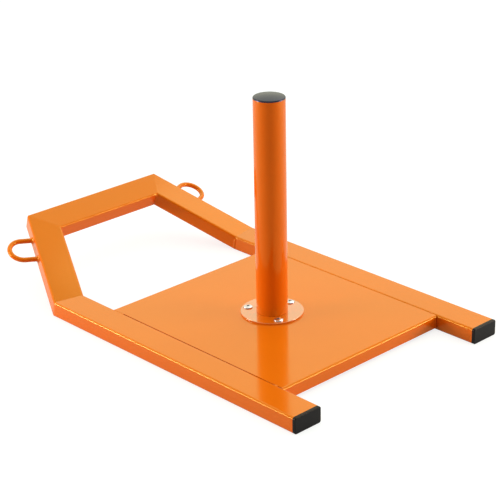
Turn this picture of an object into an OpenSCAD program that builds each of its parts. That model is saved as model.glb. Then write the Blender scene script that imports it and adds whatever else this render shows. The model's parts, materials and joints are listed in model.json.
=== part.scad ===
// Weight sled: a low frame of rectangular steel tube with a folded sheet
// deck, a bolted post for weight plates and two tow eyes on the raised front.
// Millimetres. +X points to the front, +Y to the left, +Z up. The origin is
// on the floor, halfway along and halfway across the sled.

/* [Frame] */
// Overall width over the two runners
overall_w = 425; // [360:1:520]
// Post axis to the rear end of the steel runners
rear_reach = 255; // [225:1:320]
// Post axis to the bend in the runner's centreline
bend_reach = 262; // [235:1:320]
// Bend to the crossbar, level, between centrelines
front_reach = 148; // [110:1:190]
// Height that the front of the frame climbs
front_rise = 70; // [40:1:100]
// Width between the two front corners, between centrelines
crossbar_span = 236; // [190:1:280]

/* [Tube] */
// Width of the rectangular tube
tube_w = 50; // [40:1:60]
// Height of the rectangular tube
tube_h = 25; // [22:1:40]
// Wall of the rectangular tube
tube_wall = 2; // [1.5:0.1:3]
// Outer corner radius of the rectangular tube
tube_corner = 3.5; // [3.2:0.1:5]

/* [Deck] */
// Post axis to the front edge of the deck
deck_front = 181; // [120:1:200]
// Post axis to the rear edge of the deck
deck_rear = 188; // [120:1:200]
// Thickness of the deck sheet
deck_t = 2.5; // [1.5:0.1:3]
// Inside radius of the deck's folds
deck_bend = 1.5; // [1:0.1:3]
// Height of the folded lips, over the sheet
deck_lip = 20; // [12:1:21]
// Height of the runners' top over the deck
deck_drop = 0.5; // [0:0.1:0.8]
// Gap between each end of a lip and the runner beside it
lip_relief = 1.5; // [1:0.1:3]

/* [Post] */
// Outside diameter of the post
post_d = 48; // [38:1:50]
// Wall of the post
post_wall = 2.5; // [2:0.1:4]
// Length of the post above its flange
post_l = 336; // [200:1:500]
// Diameter of the post's flange
flange_d = 96; // [92:1:120]
// Thickness of the post's flange
flange_t = 3; // [2:0.5:6]
// Diameter of the circle of flange screws
bolt_circle = 76; // [72:1:78]
// Width of the flange's ledge inside the post
post_ledge = 4; // [3:0.5:6]

/* [Fasteners] */
// Number of flange screws
screw_n = 3; // [3:1:6]
// Thread diameter of the flange screws
screw_d = 6; // [5:1:6]
// Length of the flange screws under the head
screw_l = 16; // [14:1:20]
// Diameter of the screw heads
head_d = 14; // [12:0.5:15]
// Height of the screw heads
head_h = 3; // [2.6:0.1:4]
// Added to the thread diameter for the holes in flange and deck
hole_clear = 0.6; // [0.4:0.1:1]
// Diameter of the washers
washer_d = 12.5; // [12:0.5:16]
// Thickness of the washers
washer_t = 1.6; // [1:0.1:2]
// Width of the nuts across their flats
nut_af = 10; // [9.5:0.5:12]
// Height of the nuts
nut_h = 5; // [4:0.5:6]

/* [Tow eyes] */
// Diameter of the bent rod
eye_rod = 8; // [6:0.5:10]
// Clear width inside a tow eye
eye_w = 34; // [26:1:44]
// Clear depth inside a tow eye, from the tube
eye_depth = 37; // [30:1:50]
// Bend of the runner to the middle of a tow eye, along the tube
eye_place = 127; // [80:1:135]

/* [Caps] */
// Thickness of a runner cap outside the tube
end_cap_t = 5; // [3:0.5:8]
// Thickness of the post cap outside the tube
post_cap_t = 4; // [3:0.5:8]
// Rounding of the caps' outer rims
cap_round = 1.2; // [0.5:0.1:2]
// Height of the crown on the post cap
cap_crown = 0.8; // [0.4:0.1:1.5]
// Depth that the caps' sleeves reach into the tubes
sleeve_l = 22; // [16:1:30]
// Wall of the caps' sleeves
sleeve_t = 2; // [1.5:0.1:2.5]
// Height of the ribs on the caps' sleeves
rib_h = 1; // [0.6:0.1:1.4]

/* [Welds] */
// Leg of the fillets round the tow eyes
eye_fillet = 3; // [2:0.1:4]
// Leg of the fillet inside the post's foot
post_fillet = 2; // [1:0.1:2.5]
// Radius of the beads in the frame's inner corners
bead_r = 4; // [3:0.1:5]
// Length of the bead at each front corner of the deck
seam_bead = 22; // [10:1:30]
// Length of the tack near each rear corner of the deck
seam_tack = 5; // [3:1:10]
// Length of the stitches under the deck
stitch_l = 30; // [20:1:50]

/* [Hidden] */

$fn = 64;

ORANGE = "#f28a33";
BLACK = "#2b2b2b";
ZINC = "#d5d5d8";

// Clearances between parts that push together
cap_fit = 0.2;
thread_fit = 0.1;
washer_fit = 0.4;

// Side of the blocks that trim the tubes to a plane
TRIM = 2000;

// Directions. The left runner lies along run_u. Each tube after it is the
// mirror image of the one before in their mitre plane, so all sections meet.
function unit(v) = v / norm(v);
function flip(v, m) = v - 2 * (v * m) / (m * m) * m;

run_u = [1, 0, 0];
run_a = [0, 1, 0];
run_n = [0, 0, 1];
cross_u = [0, -1, 0];
climb = [front_reach, (crossbar_span - overall_w + tube_w) / 2, front_rise];
diag_u = unit(climb);
bend_m = run_u + diag_u;
corner_m = diag_u + cross_u;
diag_a = flip(run_a, bend_m);
diag_n = flip(run_n, bend_m);
cross_a = flip(diag_a, corner_m);
cross_n = flip(diag_n, corner_m);

// Half sizes of the tube between the centres of its corner rounds
half_w = tube_w / 2 - tube_corner;
half_h = tube_h / 2 - tube_corner;

// The post stands behind the middle of the sled's length
nose_reach = bend_reach + front_reach + cross_a.x * half_w
    - cross_n.x * half_h + tube_corner;
post_x = (rear_reach + end_cap_t - nose_reach) / 2;
runner_y = (overall_w - tube_w) / 2;
inner_y = overall_w / 2 - tube_w;
rear_x = post_x - rear_reach;
bend_p = [post_x + bend_reach, runner_y, tube_h / 2];
corner_p = bend_p + climb;

// Heights
deck_top = tube_h - deck_drop;
deck_under = deck_top - deck_t;
flange_top = deck_top + flange_t;
post_top = flange_top + post_l;
washer_under = deck_under - washer_t;
nut_under = washer_under - nut_h;

deck_front_x = post_x + deck_front;
deck_rear_x = post_x - deck_rear;
fold_r = deck_bend + deck_t;

// Tow eyes
eye_r = (eye_w + eye_rod) / 2;
eye_leg = eye_depth - eye_w / 2;
eye_p = bend_p + diag_u * eye_place + diag_a * tube_w / 2;

// Welds
bead_sink = bead_r * 0.62;
seam_r = 2.2;
seam_in = 0.9;
seam_down = 1.5;
tack_back = 11;
stitch_leg = 4;
stitch_n = 3;
stitch_end = 45;

post_r = post_d / 2;
post_bore = post_d - 2 * post_wall;
hole_d = screw_d + hole_clear;
rib_t = 1.5;
rib_n = 3;

// Rounded rectangle of squares and circles, so its corners stay true arcs
module rounded_rect(w, h, r) {
    square([w, h - 2 * r], center = true);
    square([w - 2 * r, h], center = true);
    for (x = [-1, 1], y = [-1, 1])
        translate([x * (w / 2 - r), y * (h / 2 - r)]) circle(r = r);
}

// Local x, y and z laid along three directions from a point
module frame_at(p, x, y, z) {
    multmatrix([
        [x.x, y.x, z.x, p.x],
        [x.y, y.y, z.y, p.y],
        [x.z, y.z, z.z, p.z],
        [0, 0, 0, 1]
    ]) children();
}

// Everything on the side of a plane that its normal m points to
module beyond(p, m) {
    n = unit(m);
    turn = acos(n.z);
    translate(p)
        rotate(a = turn, v = cross([0, 0, 1], n))
            translate([-TRIM / 2, -TRIM / 2, 0]) cube(TRIM);
}

// A stretch of tube from p along u; solid when filled is true
module stretch(p, u, a, n, from, to, filled = false) {
    frame_at(p, a, n, u)
        translate([0, 0, from])
            linear_extrude(height = to - from)
                difference() {
                    rounded_rect(tube_w, tube_h, tube_corner);
                    if (!filled)
                        rounded_rect(tube_w - 2 * tube_wall, tube_h - 2 * tube_wall,
                            tube_corner - tube_wall);
                }
}

module runner_tube(filled = false) {
    difference() {
        stretch(bend_p, run_u, run_a, run_n, -bend_reach - rear_reach, tube_w, filled);
        beyond(bend_p, bend_m);
    }
}

module diagonal_tube(filled = false) {
    difference() {
        stretch(bend_p, diag_u, diag_a, diag_n, -tube_w, norm(climb) + tube_w, filled);
        beyond(bend_p, -bend_m);
        beyond(corner_p, corner_m);
    }
}

module cross_tube(filled = false) {
    difference() {
        stretch(corner_p, cross_u, cross_a, cross_n, -tube_w, crossbar_span + tube_w, filled);
        beyond(corner_p, -corner_m);
        mirror([0, 1, 0]) beyond(corner_p, -corner_m);
    }
}

module left_runner() {
    color(ORANGE) runner_tube();
}

module right_runner() {
    color(ORANGE) mirror([0, 1, 0]) runner_tube();
}

module left_front_tube() {
    color(ORANGE) diagonal_tube();
}

module right_front_tube() {
    color(ORANGE) mirror([0, 1, 0]) diagonal_tube();
}

module front_crossbar() {
    color(ORANGE) cross_tube();
}

// Bead in the inner corner of the mitre at p. The tube before it lies along
// u, with sides a and n, and the one after it has v_a in place of a.
module corner_bead(p, u, a, n, v_a, m) {
    sink = unit(a + v_a) * bead_sink;
    low = p - a * tube_w / 2 - n * half_h;
    high = p - a * tube_w / 2 + n * half_h;
    start = low - u * ((low - p) * m) / (u * m) + sink;
    end = high - u * ((high - p) * m) / (u * m) + sink;
    axis = unit(end - start);
    difference() {
        translate(start)
            rotate(a = acos(axis.z), v = cross([0, 0, 1], axis))
                cylinder(r = bead_r, h = norm(end - start));
        beyond(p - a * tube_w / 2, a);
        beyond(p - v_a * tube_w / 2, v_a);
    }
}

module frame_welds() {
    color(ORANGE)
        for (side = [0, 1])
            mirror([0, side, 0]) {
                corner_bead(bend_p, run_u, run_a, run_n, diag_a, bend_m);
                corner_bead(corner_p, diag_u, diag_a, diag_n, cross_a, corner_m);
            }
}

// Strip with its two upper corners rounded, in profile
module arch(l, h, r) {
    translate([r, 0]) square([l - 2 * r, h]);
    square([l, h - r]);
    for (x = [r, l - r])
        translate([x, h - r]) circle(r = r);
}

// The deck in profile: one sheet folded down at front and rear
module deck_profile() {
    run = deck_front + deck_rear;
    translate([deck_rear_x, deck_top - deck_lip])
        difference() {
            arch(run, deck_lip, fold_r);
            translate([deck_t, -1]) arch(run - 2 * deck_t, deck_lip - deck_t + 1, deck_bend);
        }
}

// Something at each flange screw
module at_screws(z) {
    for (k = [0 : screw_n - 1])
        translate([post_x, 0, z]) rotate(-90 + k * 360 / screw_n)
            translate([bolt_circle / 2, 0, 0]) children();
}

module deck_body() {
    difference() {
        rotate([90, 0, 0])
            linear_extrude(height = 2 * inner_y, center = true) deck_profile();
        for (x = [deck_front_x - deck_t, deck_rear_x], side = [-1, 1])
            translate([x - 0.5, side > 0 ? inner_y - lip_relief : -inner_y - 1,
                deck_top - deck_lip - 1])
                cube([deck_t + 1, lip_relief + 1, deck_lip - fold_r + 1]);
    }
}

module deck_plate() {
    color(ORANGE)
        difference() {
            deck_body();
            at_screws(deck_under - 1) cylinder(d = hole_d, h = deck_t + 2);
        }
}

// Filler in the groove between the deck and the left runner
module seam_filler(x, length) {
    translate([x, inner_y + seam_in, deck_top - seam_down])
        rotate([0, 90, 0]) cylinder(r = seam_r, h = length);
}

// A stitch under the deck, in the corner that it makes with the left runner
module stitch(x) {
    translate([x, inner_y, deck_under])
        rotate([90, 0, 90])
            linear_extrude(height = stitch_l)
                difference() {
                    translate([-stitch_leg, -stitch_leg]) square(stitch_leg);
                    translate([-stitch_leg, -stitch_leg]) circle(r = stitch_leg * 0.85);
                }
}

module deck_welds() {
    stitch_span = deck_front + deck_rear - 2 * stitch_end - stitch_l;
    color(ORANGE)
        for (side = [0, 1])
            mirror([0, side, 0]) {
                difference() {
                    union() {
                        seam_filler(deck_front_x - fold_r - seam_bead, seam_bead);
                        seam_filler(deck_rear_x + tack_back, seam_tack);
                    }
                    runner_tube(filled = true);
                    translate([deck_rear_x, 0, 0]) cube([deck_front + deck_rear, inner_y, deck_top]);
                }
                difference() {
                    for (k = [0 : stitch_n - 1])
                        stitch(deck_rear_x + stitch_end + k * stitch_span / (stitch_n - 1));
                    runner_tube(filled = true);
                }
            }
}

// A U of round rod: local y leaves the tube, local x lies along it
module eye_rod_body() {
    for (x = [-1, 1])
        translate([x * eye_r, 0, 0]) rotate([-90, 0, 0]) cylinder(d = eye_rod, h = eye_leg);
    translate([0, eye_leg, 0])
        rotate_extrude(angle = 180) translate([eye_r, 0]) circle(d = eye_rod);
}

// Ring of weld with a hollow face round a bar of radius r
module fillet_ring(r, leg) {
    rotate_extrude()
        difference() {
            translate([r, 0]) square(leg);
            translate([r + leg, leg]) circle(r = leg);
        }
}

module left_tow_eye() {
    color(ORANGE) frame_at(eye_p, diag_u, diag_a, diag_n) eye_rod_body();
}

module right_tow_eye() {
    color(ORANGE) mirror([0, 1, 0])
        frame_at(eye_p, diag_u, diag_a, diag_n) eye_rod_body();
}

module tow_eye_welds() {
    color(ORANGE)
        for (side = [0, 1], x = [-1, 1])
            mirror([0, side, 0])
                frame_at(eye_p, diag_u, diag_a, diag_n)
                    translate([x * eye_r, 0, 0])
                        rotate([-90, 0, 0]) fillet_ring(eye_rod / 2, eye_fillet);
}

// Block with its two upper edges rounded, in profile
module eased_profile(w, t, r) {
    translate([-w / 2, 0]) square([w, t - r]);
    translate([-w / 2 + r, 0]) square([w - 2 * r, t]);
    for (x = [-1, 1])
        translate([x * (w / 2 - r), t - r]) circle(r = r);
}

// Sleeve wall and ribs of a cap in plan, at a given outer size
module sleeve_ring(grow, wall) {
    w = tube_w - 2 * tube_wall - 2 * cap_fit - 2 * rib_h + 2 * grow;
    h = tube_h - 2 * tube_wall - 2 * cap_fit - 2 * rib_h + 2 * grow;
    difference() {
        rounded_rect(w, h, 1);
        square([w - 2 * wall, h - 2 * wall], center = true);
    }
}

// Cap for a runner: local z leaves the tube, local x lies across it
module end_cap_body() {
    intersection() {
        linear_extrude(height = end_cap_t) rounded_rect(tube_w, tube_h, tube_corner);
        rotate([90, 0, 0]) linear_extrude(height = tube_h + 2, center = true)
            eased_profile(tube_w, end_cap_t, cap_round);
        rotate([90, 0, 90]) linear_extrude(height = tube_w + 2, center = true)
            eased_profile(tube_h, end_cap_t, cap_round);
    }
    translate([0, 0, -sleeve_l]) linear_extrude(height = sleeve_l) sleeve_ring(0, sleeve_t);
    for (k = [1 : rib_n])
        translate([0, 0, -k * sleeve_l / (rib_n + 1)])
            linear_extrude(height = rib_t) sleeve_ring(rib_h, rib_h + sleeve_t / 2);
}

module left_end_cap() {
    color(BLACK)
        frame_at([rear_x, runner_y, tube_h / 2], run_a, -run_n, -run_u) end_cap_body();
}

module right_end_cap() {
    color(BLACK) mirror([0, 1, 0])
        frame_at([rear_x, runner_y, tube_h / 2], run_a, -run_n, -run_u) end_cap_body();
}

// The post is welded from inside, through the flange's bore, so its foot is clear
module post_flange() {
    color(ORANGE)
        difference() {
            translate([post_x, 0, deck_top]) cylinder(d = flange_d, h = flange_t, $fn = 128);
            translate([post_x, 0, deck_top - 1])
                cylinder(d = post_bore - 2 * post_ledge, h = flange_t + 2, $fn = 96);
            at_screws(deck_top - 1) cylinder(d = hole_d, h = flange_t + 2);
        }
}

module post_tube() {
    color(ORANGE)
        translate([post_x, 0, flange_top])
            difference() {
                cylinder(d = post_d, h = post_l, $fn = 96);
                translate([0, 0, -1]) cylinder(d = post_bore, h = post_l + 2, $fn = 96);
            }
}

module post_weld() {
    face_r = post_bore / 2 - post_fillet;
    color(ORANGE)
        translate([post_x, 0, flange_top])
            rotate_extrude($fn = 96)
                difference() {
                    translate([face_r, 0]) square(post_fillet);
                    translate([face_r, post_fillet]) circle(r = post_fillet);
                }
}

module post_cap() {
    crown_w = post_r - cap_round - 1.5;
    crown_r = (pow(crown_w, 2) + pow(cap_crown, 2)) / (2 * cap_crown);
    sleeve_r = post_bore / 2 - cap_fit - rib_h;
    color(BLACK)
        translate([post_x, 0, post_top])
            rotate_extrude($fn = 96) {
                square([post_r - cap_round, post_cap_t]);
                square([post_r, post_cap_t - cap_round]);
                intersection() {
                    translate([post_r - cap_round, post_cap_t - cap_round]) circle(r = cap_round);
                    square([post_r + 1, post_cap_t]);
                }
                intersection() {
                    translate([0, post_cap_t + cap_crown - crown_r]) circle(r = crown_r);
                    translate([0, post_cap_t / 2]) square([crown_w, post_cap_t]);
                }
                translate([sleeve_r - sleeve_t, -sleeve_l]) square([sleeve_t, sleeve_l]);
                for (k = [1 : rib_n])
                    translate([sleeve_r - sleeve_t / 2, -k * sleeve_l / (rib_n + 1)])
                        square([rib_h + sleeve_t / 2, rib_t]);
            }
}

// Cross recess: two tapering wings and a point
module cross_recess() {
    wing_w = head_d * 0.11;
    wing_l = head_d * 0.46;
    deep = head_h * 0.62;
    for (turn = [0, 90])
        rotate(turn)
            rotate([90, 0, 0])
                linear_extrude(height = wing_w, center = true)
                    polygon([[-wing_l / 2, 1], [wing_l / 2, 1], [wing_l / 2, 0],
                        [wing_w / 2, -deep], [-wing_w / 2, -deep], [-wing_l / 2, 0]]);
}

// Low domed head on a plain shank, with its seat at z = 0
module screw_body() {
    dome_r = (pow(head_d / 2, 2) + pow(head_h, 2)) / (2 * head_h);
    tip = screw_d * 0.12;
    difference() {
        rotate_extrude()
            intersection() {
                translate([0, head_h - dome_r]) circle(r = dome_r);
                square([head_d / 2, head_h]);
            }
        translate([0, 0, head_h - 0.1]) cross_recess();
    }
    translate([0, 0, -screw_l + tip]) cylinder(d = screw_d, h = screw_l - tip);
    translate([0, 0, -screw_l])
        cylinder(d1 = screw_d - 2 * tip, d2 = screw_d, h = tip);
}

module post_screws() {
    color(ZINC) at_screws(flange_top) screw_body();
}

module post_washers() {
    color(ZINC)
        at_screws(washer_under)
            difference() {
                cylinder(d = washer_d, h = washer_t);
                translate([0, 0, -1]) cylinder(d = screw_d + washer_fit, h = washer_t + 2);
            }
}

module post_nuts() {
    corner_r = nut_af / sqrt(3);
    ease = (corner_r - nut_af / 2) / 2;
    color(ZINC)
        at_screws(nut_under)
            difference() {
                intersection() {
                    cylinder(r = corner_r, h = nut_h, $fn = 6);
                    rotate_extrude()
                        polygon([[0, 0], [nut_af / 2, 0], [corner_r, ease],
                            [corner_r, nut_h - ease], [nut_af / 2, nut_h], [0, nut_h]]);
                }
                translate([0, 0, -1]) cylinder(d = screw_d + thread_fit, h = nut_h + 2);
            }
}

left_runner();
right_runner();
left_front_tube();
right_front_tube();
front_crossbar();
frame_welds();
deck_plate();
deck_welds();
left_tow_eye();
right_tow_eye();
tow_eye_welds();
left_end_cap();
right_end_cap();
post_flange();
post_tube();
post_weld();
post_cap();
post_screws();
post_washers();
post_nuts();
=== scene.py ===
"""Weight sled: the visual model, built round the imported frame.

The sled is a welded frame of rectangular steel tube with a folded sheet deck, a bolted post
for weight plates, two tow eyes and black plugs in the open tube ends. Metres throughout.
+X points to the raised front, +Y to the left and +Z up, as in the frame.
"""

import json
import logging
import math
from collections.abc import Callable, Iterator, Sequence
from contextlib import contextmanager
from dataclasses import dataclass, field, replace
from enum import Enum
from typing import Any, ClassVar

import bmesh
import bpy
from mathutils import Matrix, Vector


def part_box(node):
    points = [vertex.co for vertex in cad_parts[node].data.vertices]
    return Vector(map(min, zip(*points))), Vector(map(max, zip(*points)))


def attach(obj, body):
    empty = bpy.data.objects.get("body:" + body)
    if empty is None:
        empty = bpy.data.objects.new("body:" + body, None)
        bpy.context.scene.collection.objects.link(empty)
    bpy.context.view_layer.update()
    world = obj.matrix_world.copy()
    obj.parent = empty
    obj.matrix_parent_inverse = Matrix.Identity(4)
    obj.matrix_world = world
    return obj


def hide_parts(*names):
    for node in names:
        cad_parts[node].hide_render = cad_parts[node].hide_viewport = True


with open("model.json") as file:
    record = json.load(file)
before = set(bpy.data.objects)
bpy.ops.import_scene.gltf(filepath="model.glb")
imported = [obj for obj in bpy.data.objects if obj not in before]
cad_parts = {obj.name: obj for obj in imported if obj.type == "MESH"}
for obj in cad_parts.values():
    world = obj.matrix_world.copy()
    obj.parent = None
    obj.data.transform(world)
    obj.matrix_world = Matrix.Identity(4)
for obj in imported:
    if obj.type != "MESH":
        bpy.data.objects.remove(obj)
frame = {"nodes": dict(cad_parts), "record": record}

LOG = logging.getLogger("weight_sled")
MM = 0.001
MICRON = 0.001 * MM
SLACK = 0.1 * MM
FORWARD = Vector((1.0, 0.0, 0.0))
LEFTWARD = Vector((0.0, 1.0, 0.0))
UP = Vector((0.0, 0.0, 1.0))
ORIGIN = Vector((0.0, 0.0, 0.0))
MIRROR_Y = Matrix.Diagonal((1.0, -1.0, 1.0, 1.0))
WHITE = (1.0, 1.0, 1.0, 1.0)
# The share of a face's normal along a direction: above FACING, the face looks that way; above
# SQUARE, it is square to it; below STEEP, it is steep
FACING = 0.9
SQUARE = 0.999
STEEP = 0.5


class Side(Enum):
    """The two sides of the sled, seen by someone who pulls it."""

    LEFT = 1
    RIGHT = -1

    @property
    def word(self) -> str:
        """The side's name in piece names."""
        return self.name.lower()


class Pick(Enum):
    """What an edit-mode selection is made of."""

    VERTS = "VERT"
    EDGES = "EDGE"
    FACES = "FACE"


def hex_to_linear(code: str) -> tuple[float, float, float, float]:
    """Turns an sRGB hex colour into linear light.

    Args:
        code: The colour as #rrggbb.

    Returns:
        Red, green, blue and an alpha of 1.
    """
    linear = []
    for start in (1, 3, 5):
        value = int(code[start:start + 2], 16) / 255
        linear.append(value / 12.92 if value <= 0.04045 else ((value + 0.055) / 1.055) ** 2.4)
    return (linear[0], linear[1], linear[2], 1.0)


def add_node(
    tree: bpy.types.NodeTree,
    kind: str,
    settings: dict[str, Any] | None = None,
    inputs: dict[str | int, Any] | None = None,
) -> bpy.types.Node:
    """Adds one shader node with its settings, constants and links.

    Args:
        tree: The node tree that gets the node.
        kind: Blender's name for the node's type.
        settings: Properties of the node itself.
        inputs: For each input, by name or number, a constant, a colour as #rrggbb, an output
            socket to link, or a node, whose first socket in use is linked.

    Returns:
        The new node.
    """
    node = tree.nodes.new(kind)
    for key, value in (settings or {}).items():
        setattr(node, key, value)
    for key, value in (inputs or {}).items():
        if isinstance(value, bpy.types.Node):
            value = next(socket for socket in value.outputs if socket.enabled)
        if isinstance(value, bpy.types.NodeSocket):
            tree.links.new(value, node.inputs[key])
        elif isinstance(value, str):
            node.inputs[key].default_value = hex_to_linear(value)
        else:
            node.inputs[key].default_value = value
    return node


def new_material(name: str) -> bpy.types.Material:
    """Makes a material with an empty node tree.

    Args:
        name: The finish's name.

    Returns:
        The material.
    """
    material = bpy.data.materials.new(name)
    material.use_nodes = True
    material.node_tree.nodes.clear()
    return material


@dataclass(frozen=True)
class Finish:
    """What a surface is made of: patches of two shades, under a fine relief."""

    name: str
    colour: str
    patch_colour: str
    patch_size: float
    relief_size: float
    relief_height: float
    roughness: float
    patch_detail: float = 2.0
    relief_detail: float = 2.0

    def material(self) -> bpy.types.Material:
        """Makes the finish's material on first use, and finds it again later.

        Returns:
            The material.
        """
        if self.name in bpy.data.materials:
            return bpy.data.materials[self.name]
        material = new_material(self.name)
        tree = material.node_tree
        place = add_node(tree, "ShaderNodeTexCoord").outputs["Object"]
        patches = add_node(
            tree, "ShaderNodeTexNoise",
            inputs={"Vector": place, "Scale": 1 / self.patch_size, "Detail": self.patch_detail},
        )
        tone = add_node(
            tree, "ShaderNodeMix", {"data_type": "RGBA"},
            {"Factor": patches, "A": self.colour, "B": self.patch_colour},
        )
        marks = add_node(
            tree, "ShaderNodeTexNoise",
            inputs={"Vector": place, "Scale": 1 / self.relief_size, "Detail": self.relief_detail},
        )
        relief = add_node(
            tree, "ShaderNodeBump", inputs={"Distance": self.relief_height, "Height": marks}
        )
        shared = {"Base Color": tone, "Roughness": self.roughness, "Normal": relief}
        shader = add_node(
            tree, "ShaderNodeBsdfPrincipled", inputs=shared | self.shine(tree, patches, tone)
        )
        add_node(tree, "ShaderNodeOutputMaterial", inputs={"Surface": shader})
        return material

    def shine(self, tree: bpy.types.NodeTree, patches: bpy.types.Node,
              tone: bpy.types.Node) -> dict[str, Any]:
        """Gives the shader's inputs by which the finish differs from the others.

        Args:
            tree: The material's node tree.
            patches: The noise that lays out the patches.
            tone: The mix of the two shades.

        Returns:
            The inputs, as for add_node.
        """
        raise NotImplementedError


@dataclass(frozen=True)
class PowderCoat(Finish):
    """Polyester powder coat on mild steel, sprayed dry and fused in an oven.

    The melt levels to a hard glossy film that mirrors the room, with a very shallow orange
    peel that only breaks up the sharpest reflections. The pigment sits in the film itself,
    so the colour is even, with a faint drift where the film is thicker. The film mirrors
    little of what is straight ahead and more at a slant, and pigment close under the surface
    gives its reflections a yellow tint. On a sheet's side edges in a narrow seam, a darker
    colour is painted in as shade.
    """

    name: str = "powder_coat_gloss_orange"
    colour: str = "#f0740e"
    patch_colour: str = "#ec6f0c"
    patch_size: float = 70 * MM
    relief_size: float = 2.2 * MM
    relief_height: float = 0.004 * MM
    relief_detail: float = 1.0
    roughness: float = 0.09
    roughness_drift: float = 0.05
    film_ior: float = 1.6
    film_tint: str = "#f4ff74"
    level_ahead: float = 0.3
    level_aslant: float = 1.15
    lacquer: float = 0.0
    lacquer_ior: float = 1.5
    # Painted shade in a seam: a darker colour on a sheet's side edges, beyond this distance from
    # the middle
    seam_shade_colour: str = "#d4650e"
    seam_shade_beyond: float = 0.0

    def shine(self, tree: bpy.types.NodeTree, patches: bpy.types.Node,
              tone: bpy.types.Node) -> dict[str, Any]:
        """Gives the coat a gloss that drifts with its patches and grows at a slant.

        Args:
            tree: The material's node tree.
            patches: The noise that lays out the patches.
            tone: The mix of the two shades.

        Returns:
            The inputs, as for add_node.
        """
        gloss = add_node(
            tree, "ShaderNodeMapRange",
            inputs={"Value": patches, "To Min": self.roughness,
                    "To Max": self.roughness + self.roughness_drift},
        )
        aslant = add_node(tree, "ShaderNodeLayerWeight").outputs["Facing"]
        level = add_node(
            tree, "ShaderNodeMapRange",
            inputs={"Value": aslant, "To Min": self.level_ahead, "To Max": self.level_aslant},
        )
        return {
            "Base Color": self.paint_seam_shade(tree, tone) if self.seam_shade_beyond else tone,
            "Roughness": gloss, "IOR": self.film_ior, "Specular IOR Level": level,
            "Specular Tint": self.film_tint, "Coat Weight": self.lacquer,
            "Coat IOR": self.lacquer_ior,
        }

    def paint_seam_shade(self, tree: bpy.types.NodeTree, tone: bpy.types.Node) -> bpy.types.Node:
        """Paints shade on a sheet's side edges, which lie in a seam, as a darker coat colour.

        Args:
            tree: The material's node tree.
            tone: The mix of the two shades.

        Returns:
            The colour, with painted shade on the edges.
        """
        place = add_node(tree, "ShaderNodeTexCoord").outputs["Object"]
        parts = add_node(tree, "ShaderNodeSeparateXYZ", inputs={"Vector": place})
        aside = add_node(
            tree, "ShaderNodeMath", {"operation": "ABSOLUTE"}, {0: parts.outputs["Y"]}
        )
        edge = add_node(
            tree, "ShaderNodeMath", {"operation": "GREATER_THAN"}, {0: aside, 1: self.seam_shade_beyond}
        )
        # The darker colour on the edges is painted shade
        return add_node(
            tree, "ShaderNodeMix", {"data_type": "RGBA"},
            {"Factor": edge, "A": tone, "B": self.seam_shade_colour},
        )


@dataclass(frozen=True)
class MouldedPlug(Finish):
    """Black polyethylene, injection moulded in a lightly etched steel mould.

    The soft polymer copies the mould's fine grain, so it shows one wide, blurred reflection in
    place of a mirror image.
    """

    name: str = "moulded_polyethylene_black"
    colour: str = "#0e0e10"
    patch_colour: str = "#121214"
    patch_size: float = 0.9 * MM
    patch_detail: float = 3.0
    relief_size: float = 0.9 * MM
    relief_height: float = 0.012 * MM
    relief_detail: float = 3.0
    roughness: float = 0.32
    ior: float = 1.3
    gloss_tint: str = "#ffffff"

    def shine(self, *_: Any) -> dict[str, Any]:
        """Gives the plastic's inputs, which are the same all over."""
        return {"IOR": self.ior, "Specular Tint": self.gloss_tint}


@dataclass(frozen=True)
class BrightZinc(Finish):
    """Bright zinc plate on cold-headed steel, with a clear blue passivation.

    The plate follows the fine marks of the tool, so it gives a broken silver reflection with
    a breath of blue, and small patches that are a little darker than the rest. Inside a recess
    the plate is rougher, and darker as painted shade.
    """

    name: str = "zinc_plate_bright"
    colour: str = "#e9edff"
    patch_colour: str = "#d8dbea"
    patch_size: float = 1.5 * MM
    relief_size: float = 0.5 * MM
    relief_height: float = 0.01 * MM
    roughness: float = 0.24
    # Inside a recess: a darker colour as painted shade, and a higher roughness
    recess_shade_colour: str = "#6a6a6d"
    recess_roughness: float = 0.6

    def with_recess_shade(self) -> "BrightZinc":
        """Returns the plate for inside a recess: rougher, and darker as painted shade."""
        return replace(self, name=f"{self.name}_dull", colour=self.recess_shade_colour,
                       patch_colour=self.recess_shade_colour, roughness=self.recess_roughness)

    def shine(self, *_: Any) -> dict[str, Any]:
        """Gives the plate's inputs, which are the same all over."""
        return {"Metallic": 1.0}


@dataclass(frozen=True)
class Softbox:
    """A studio lamp with a diffuser, aimed at the sled."""

    name: str
    azimuth: float
    elevation: float
    distance: float = 1.9
    width: float = 0.9
    height: float = 0.55
    watts: float = 40.0
    warmth: str = "#ffdfd2"

    def place(self) -> Vector:
        """Works the lamp's place out from its two angles, in degrees.

        Returns:
            The lamp's middle.
        """
        turn, rise = math.radians(self.azimuth), math.radians(self.elevation)
        level = math.cos(rise)
        return self.distance * Vector((
            level * math.cos(turn), level * math.sin(turn), math.sin(rise)
        ))

    def hang(self, target: Vector) -> None:
        """Hangs the lamp and turns it to the target.

        Args:
            target: The point that the lamp faces.
        """
        lamp = bpy.data.lights.new(self.name, "AREA")
        lamp.shape = "RECTANGLE"
        lamp.size = self.width
        lamp.size_y = self.height
        lamp.energy = self.watts
        lamp.color = hex_to_linear(self.warmth)[:3]
        holder = bpy.data.objects.new(self.name, lamp)
        bpy.context.scene.collection.objects.link(holder)
        holder.location = self.place()
        holder.rotation_euler = (target - self.place()).to_track_quat("-Z", "Y").to_euler()


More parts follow.
